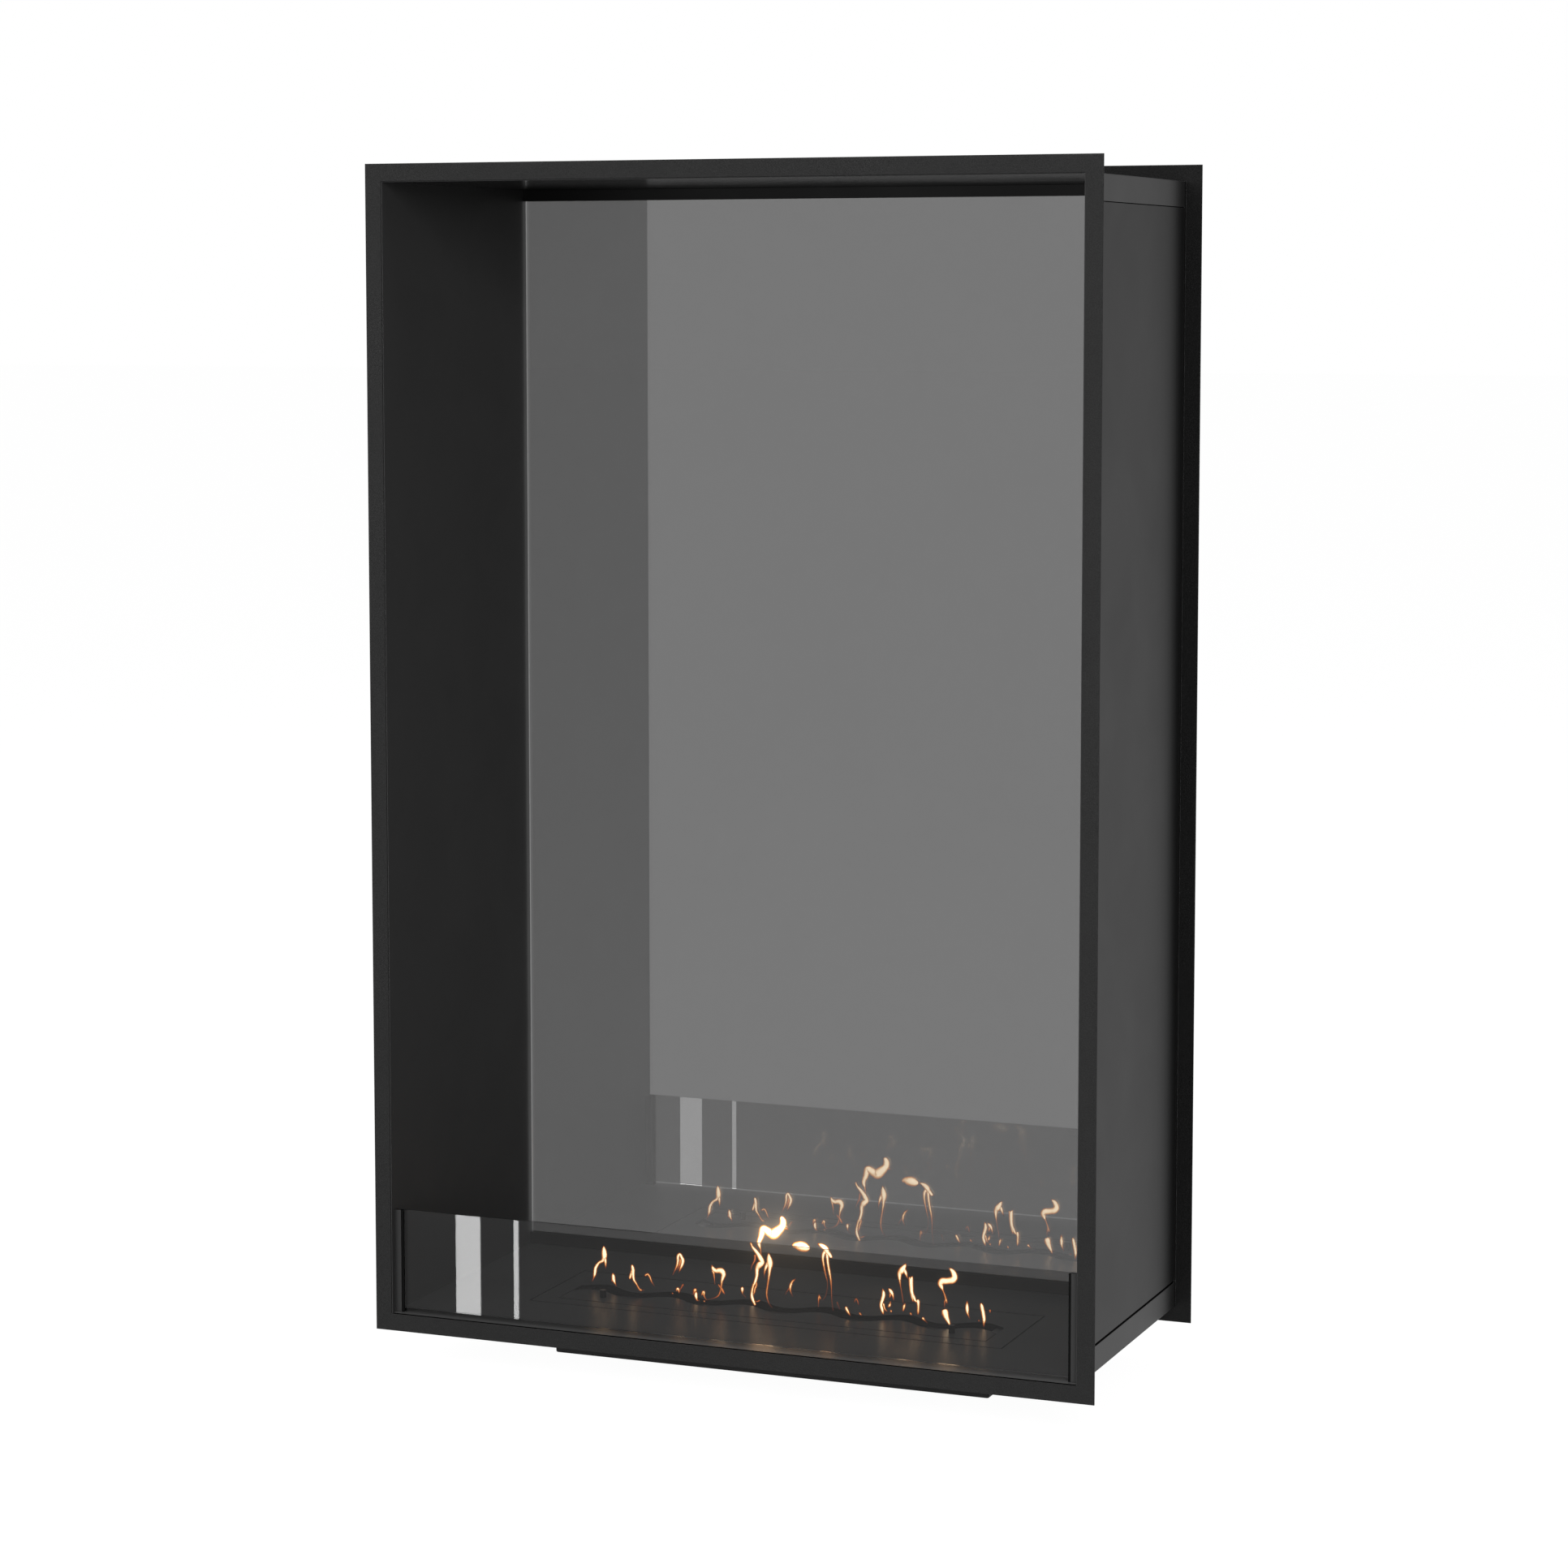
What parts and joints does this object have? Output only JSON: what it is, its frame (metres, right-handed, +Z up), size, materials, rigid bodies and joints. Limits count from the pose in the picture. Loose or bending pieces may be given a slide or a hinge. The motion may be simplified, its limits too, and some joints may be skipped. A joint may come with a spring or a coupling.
{
  "type": "bioethanol fireplace",
  "caption": "Tall see-through ethanol fireplace for a wall opening: black steel case with flat front and rear frames, smoked rear glass, low front glass screen and sunken wave-slot burner.",
  "frame": {"origin": "middle of the front frame's lower edge, in the plane of the frame's back face, which lies on the wall", "axes": "+Z up, +X to the right as one faces the fire, +Y from the front frame towards the rear glass"},
  "size_m": [0.837, 0.363, 1.333],
  "materials": {
    "powder_coat": "fine-grained matt black powder coat on sheet steel",
    "chamber_black": "smooth satin black heat-proof paint",
    "burner_black": "satin black heat-proof paint on thick plate",
    "tank_black": "plain black paint on folded sheet",
    "smoked_glass": "grey tinted toughened glass, polished edges",
    "screen_glass": "lightly tinted heat-proof glass, polished edges",
    "gasket_black": "matt black heat-proof sealing strip",
    "stainless": "bare stainless sheet",
    "fibre_white": "felted ceramic wool",
    "screw_steel": "blackened steel",
    "flame": "glowing ethanol flame, drawn only in the dressed model"
  },
  "bodies": {
    "case": {"front_frame": "powder_coat", "rear_frame": "powder_coat", "left_wall": "chamber_black", "right_wall": "chamber_black", "roof_liner": "chamber_black", "floor_plate": "chamber_black", "top_cover": "powder_coat", "base_tray": "powder_coat", "left_side_panel": "powder_coat", "right_side_panel": "powder_coat", "rear_glass": "smoked_glass", "rear_head_rail": "chamber_black", "rear_sill": "chamber_black", "rear_glass_seals": "gasket_black", "rear_setting_pads": "gasket_black", "rail_screws": "screw_steel", "left_glass_channel": "powder_coat", "right_glass_channel": "powder_coat", "channel_gaskets": "gasket_black", "screen_pads": "gasket_black", "channel_screws": "screw_steel"},
    "burner": {"burner_plate": "burner_black", "tank_casing": "tank_black", "draught_strip": "stainless", "lid_runners": "stainless", "fuel_tray": "stainless", "ceramic_fibre": "fibre_white", "mesh_cover": "stainless"},
    "lid": {"wave_lid": "burner_black", "lid_knobs": "burner_black", "knob_screws": "screw_steel"},
    "screen": {"front_glass": "screen_glass"}
  },
  "joints": [
    {"name": "burner_lift", "type": "slide", "parent": "case", "child": "burner", "axis": [0, 0, 1], "range_m": [0, 0.066]},
    {"name": "lid_slide", "type": "slide", "parent": "burner", "child": "lid", "axis": [0, 1, 0], "range_m": [0, 0.025]},
    {"name": "screen_lift", "type": "slide", "parent": "case", "child": "screen", "axis": [0, 0, 1], "range_m": [0, 0.118]}
  ]
}
